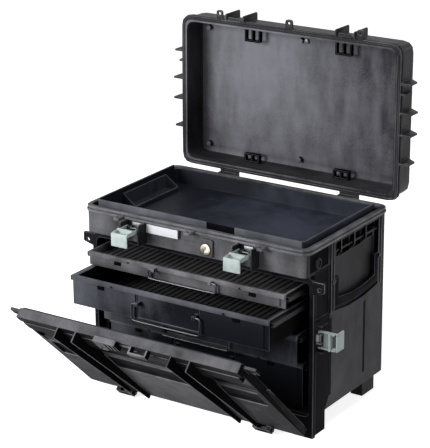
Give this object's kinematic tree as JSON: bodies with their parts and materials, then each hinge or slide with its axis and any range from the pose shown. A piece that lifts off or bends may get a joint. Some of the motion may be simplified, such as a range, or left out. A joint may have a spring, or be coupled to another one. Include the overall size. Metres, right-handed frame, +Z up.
{
  "type": "tool case",
  "caption": "Hard plastic tool case with a hinged lid, a drop-down front panel, drawers on runners and a loose top tray.",
  "frame": {"origin": "middle of the assembly's box in X and Y, on the floor under the feet", "axes": "+Z up, -Y out of the drawer front, +X to the right of someone facing the front"},
  "size_m": [0.6304, 0.6902, 0.7584],
  "materials": {
    "charcoal": "moulded",
    "slate": "moulded",
    "jet": "moulded",
    "celadon": "satin",
    "steel": "dull",
    "brass": "plated",
    "paper": "paper",
    "rubber": "matt"
  },
  "bodies": {
    "case": {"base_shell": "charcoal", "bay_frame": "charcoal", "rail_panel_left": "jet", "rail_panel_right": "jet", "label_frame": "slate", "label_card": "paper", "lock_housing": "charcoal", "lid_hinge_pin_left": "steel", "lid_hinge_pin_right": "steel", "panel_hinge_pin_left": "steel", "panel_hinge_pin_right": "steel", "drawer_4_runners": "steel", "front_left_latch_bracket": "steel", "front_right_latch_bracket": "steel", "side_left_latch_bracket": "steel", "side_right_latch_bracket": "steel"},
    "lid": {"lid_shell": "charcoal", "lid_gasket": "rubber", "lid_board_clip_rear_left": "charcoal", "lid_board_clip_rear_right": "charcoal", "lid_board_clip_front_left": "charcoal", "lid_board_clip_front_right": "charcoal", "lid_stud": "steel"},
    "panel": {"front_panel": "charcoal", "panel_seal": "rubber", "panel_lock_block": "charcoal"},
    "tray": {"top_tray": "slate", "tray_bin": "slate"},
    "lock": {"lock_cylinder": "brass", "lock_cam": "steel"},
    "drawer_1": {"drawer_1": "slate", "drawer_1_mat": "rubber"},
    "bail_1": {"drawer_1_bail": "steel"},
    "runners_1": {"drawer_1_runners": "steel"},
    "drawer_2": {"drawer_2": "slate", "drawer_2_mat": "rubber"},
    "bail_2": {"drawer_2_bail": "steel"},
    "runners_2": {"drawer_2_runners": "steel"},
    "drawer_3": {"drawer_3": "slate", "drawer_3_mat": "rubber"},
    "bail_3": {"drawer_3_bail": "steel"},
    "runners_3": {"drawer_3_runners": "steel"},
    "drawer_4": {"drawer_4": "slate", "drawer_4_mat": "rubber"},
    "bail_4": {"drawer_4_bail": "steel"},
    "handle_left": {"side_handle_left": "charcoal"},
    "front_left_yoke": {"front_left_latch_yoke": "celadon"},
    "front_left_lever": {"front_left_latch_lever": "celadon"},
    "side_left_yoke": {"side_left_latch_yoke": "celadon"},
    "side_left_lever": {"side_left_latch_lever": "celadon"},
    "handle_right": {"side_handle_right": "charcoal"},
    "front_right_yoke": {"front_right_latch_yoke": "celadon"},
    "front_right_lever": {"front_right_latch_lever": "celadon"},
    "side_right_yoke": {"side_right_latch_yoke": "celadon"},
    "side_right_lever": {"side_right_latch_lever": "celadon"}
  },
  "joints": [
    {"name": "lid_hinge", "type": "hinge", "parent": "case", "child": "lid", "pos_m": [0, 0.25986, 0.3917], "axis": [-1, 0, 0], "range_deg": [-90.7, 0]},
    {"name": "panel_hinge", "type": "hinge", "parent": "case", "child": "panel", "pos_m": [0, -0.08064, 0.009], "axis": [1, 0, 0], "range_deg": [-46.2, 0]},
    {"name": "tray_lift", "type": "slide", "parent": "case", "child": "tray", "axis": [0, 0, 1], "range_m": [0, 0.12]},
    {"name": "lock_turn", "type": "hinge", "parent": "case", "child": "lock", "pos_m": [0.0355, -0.08664, 0.369], "axis": [0, 1, 0], "range_deg": [0, 90]},
    {"name": "runners_1_slide", "type": "slide", "parent": "case", "child": "runners_1", "axis": [0, -1, 0], "range_m": [-0.068, 0]},
    {"name": "drawer_1_slide", "type": "slide", "parent": "runners_1", "child": "drawer_1", "axis": [0, -1, 0], "range_m": [0, 0.132]},
    {"name": "bail_1_turn", "type": "hinge", "parent": "drawer_1", "child": "bail_1", "pos_m": [0, -0.12264, 0.315], "axis": [-1, 0, 0], "range_deg": [0, 95]},
    {"name": "runners_2_slide", "type": "slide", "parent": "case", "child": "runners_2", "axis": [0, -1, 0], "range_m": [-0.127, 0]},
    {"name": "drawer_2_slide", "type": "slide", "parent": "runners_2", "child": "drawer_2", "axis": [0, -1, 0], "range_m": [0, 0.073]},
    {"name": "bail_2_turn", "type": "hinge", "parent": "drawer_2", "child": "bail_2", "pos_m": [0, -0.18164, 0.261], "axis": [-1, 0, 0], "range_deg": [0, 95]},
    {"name": "runners_3_slide", "type": "slide", "parent": "case", "child": "runners_3", "axis": [0, -1, 0], "range_m": [-0.024, 0]},
    {"name": "drawer_3_slide", "type": "slide", "parent": "runners_3", "child": "drawer_3", "axis": [0, -1, 0], "range_m": [0, 0.11]},
    {"name": "bail_3_turn", "type": "hinge", "parent": "drawer_3", "child": "bail_3", "pos_m": [0, -0.07864, 0.193], "axis": [-1, 0, 0], "range_deg": [0, 95]},
    {"name": "drawer_4_slide", "type": "slide", "parent": "case", "child": "drawer_4", "axis": [0, -1, 0], "range_m": [0, 0.045]},
    {"name": "bail_4_turn", "type": "hinge", "parent": "drawer_4", "child": "bail_4", "pos_m": [0, -0.05464, 0.125], "axis": [-1, 0, 0], "range_deg": [0, 95]},
    {"name": "handle_left_turn", "type": "hinge", "parent": "case", "child": "handle_left", "pos_m": [-0.2635, 0.11736, 0.312], "axis": [0, 1, 0], "range_deg": [0, 100]},
    {"name": "front_left_yoke_turn", "type": "hinge", "parent": "case", "child": "front_left_yoke", "pos_m": [-0.135, -0.09564, 0.384], "axis": [-1, 0, 0], "range_deg": [0, 90]},
    {"name": "front_left_lever_turn", "type": "hinge", "parent": "front_left_yoke", "child": "front_left_lever", "pos_m": [-0.135, -0.13964, 0.384], "axis": [-1, 0, 0], "range_deg": [-90, 90]},
    {"name": "side_left_yoke_turn", "type": "hinge", "parent": "case", "child": "side_left_yoke", "pos_m": [-0.275, -0.04264, 0.213], "axis": [0, 0, 1], "range_deg": [0, 90]},
    {"name": "side_left_lever_turn", "type": "hinge", "parent": "side_left_yoke", "child": "side_left_lever", "pos_m": [-0.307, -0.04264, 0.213], "axis": [0, 0, 1], "range_deg": [-90, 90]},
    {"name": "handle_right_turn", "type": "hinge", "parent": "case", "child": "handle_right", "pos_m": [0.2635, 0.11736, 0.312], "axis": [0, -1, 0], "range_deg": [0, 100]},
    {"name": "front_right_yoke_turn", "type": "hinge", "parent": "case", "child": "front_right_yoke", "pos_m": [0.135, -0.09564, 0.384], "axis": [-1, 0, 0], "range_deg": [0, 90]},
    {"name": "front_right_lever_turn", "type": "hinge", "parent": "front_right_yoke", "child": "front_right_lever", "pos_m": [0.135, -0.13964, 0.384], "axis": [-1, 0, 0], "range_deg": [-90, 90]},
    {"name": "side_right_yoke_turn", "type": "hinge", "parent": "case", "child": "side_right_yoke", "pos_m": [0.275, -0.04264, 0.213], "axis": [0, 0, -1], "range_deg": [0, 90]},
    {"name": "side_right_lever_turn", "type": "hinge", "parent": "side_right_yoke", "child": "side_right_lever", "pos_m": [0.307, -0.04264, 0.213], "axis": [0, 0, -1], "range_deg": [-90, 90]}
  ],
  "couplings": [
    {"joint": "runners_1_slide", "follows": "panel_hinge", "m_per_rad": 0.08433},
    {"joint": "runners_2_slide", "follows": "panel_hinge", "m_per_rad": 0.1575},
    {"joint": "runners_3_slide", "follows": "panel_hinge", "m_per_rad": 0.02976}
  ]
}
